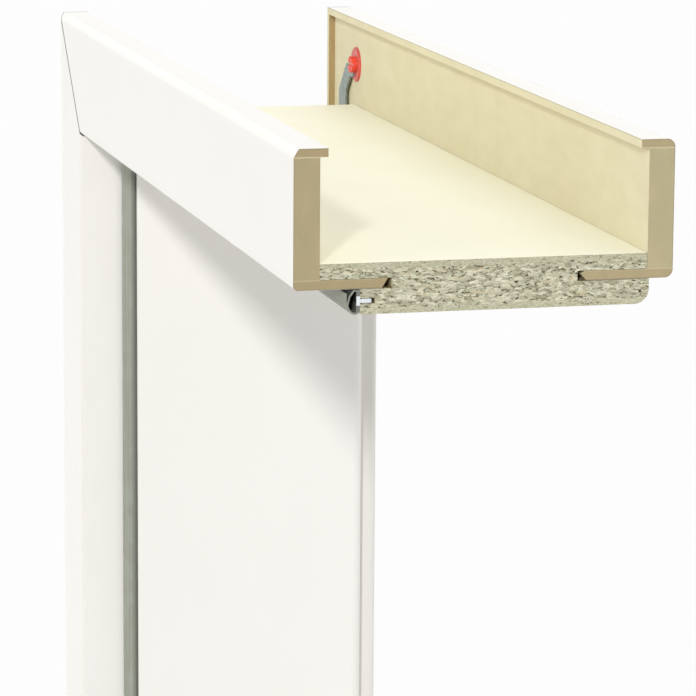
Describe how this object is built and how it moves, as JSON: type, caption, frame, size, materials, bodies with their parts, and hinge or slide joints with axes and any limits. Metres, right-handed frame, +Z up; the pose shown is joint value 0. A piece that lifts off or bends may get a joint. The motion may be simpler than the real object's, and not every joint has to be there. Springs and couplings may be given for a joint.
{
  "type": "door frame corner sample",
  "caption": "Cut-away corner of a wrap-around door frame: mitred white casings, grooved chipboard lining, hollow seal in the rebate and a decor casing that slides out.",
  "frame": {"origin": "middle of the jamb lining's wall side face", "axes": "+X along the head away from the jamb, +Y through the wall from the door side to the decor side, +Z up"},
  "size_m": [0.56, 0.1672, 0.6],
  "materials": {
    "core_board": "raw chipboard with a white laminate",
    "casing_board": "fibreboard with a white laminate",
    "seal_rubber": "soft matt",
    "connector_plastic": "moulded",
    "connector_steel": "zinc plated"
  },
  "bodies": {
    "frame_corner": {"front_connector_arm": "connector_steel", "front_connector_cam": "connector_plastic", "front_connector_housing": "connector_plastic", "head_front_lip": "casing_board", "head_front_panel": "casing_board", "head_front_tongue": "casing_board", "head_lining": "core_board", "head_seal": "seal_rubber", "jamb_front_lip": "casing_board", "jamb_front_panel": "casing_board", "jamb_front_tongue": "casing_board", "jamb_lining": "core_board", "jamb_seal": "seal_rubber"},
    "decor_casing": {"decor_connector_arm": "connector_steel", "decor_connector_cam": "connector_plastic", "decor_connector_housing": "connector_plastic", "head_decor_lip": "casing_board", "head_decor_panel": "casing_board", "head_decor_tongue": "casing_board", "jamb_decor_lip": "casing_board", "jamb_decor_panel": "casing_board", "jamb_decor_tongue": "casing_board"}
  },
  "joints": [
    {"name": "decor_casing_slide", "type": "slide", "parent": "frame_corner", "child": "decor_casing", "axis": [0, 1, 0], "range_m": [0, 0.015]}
  ]
}
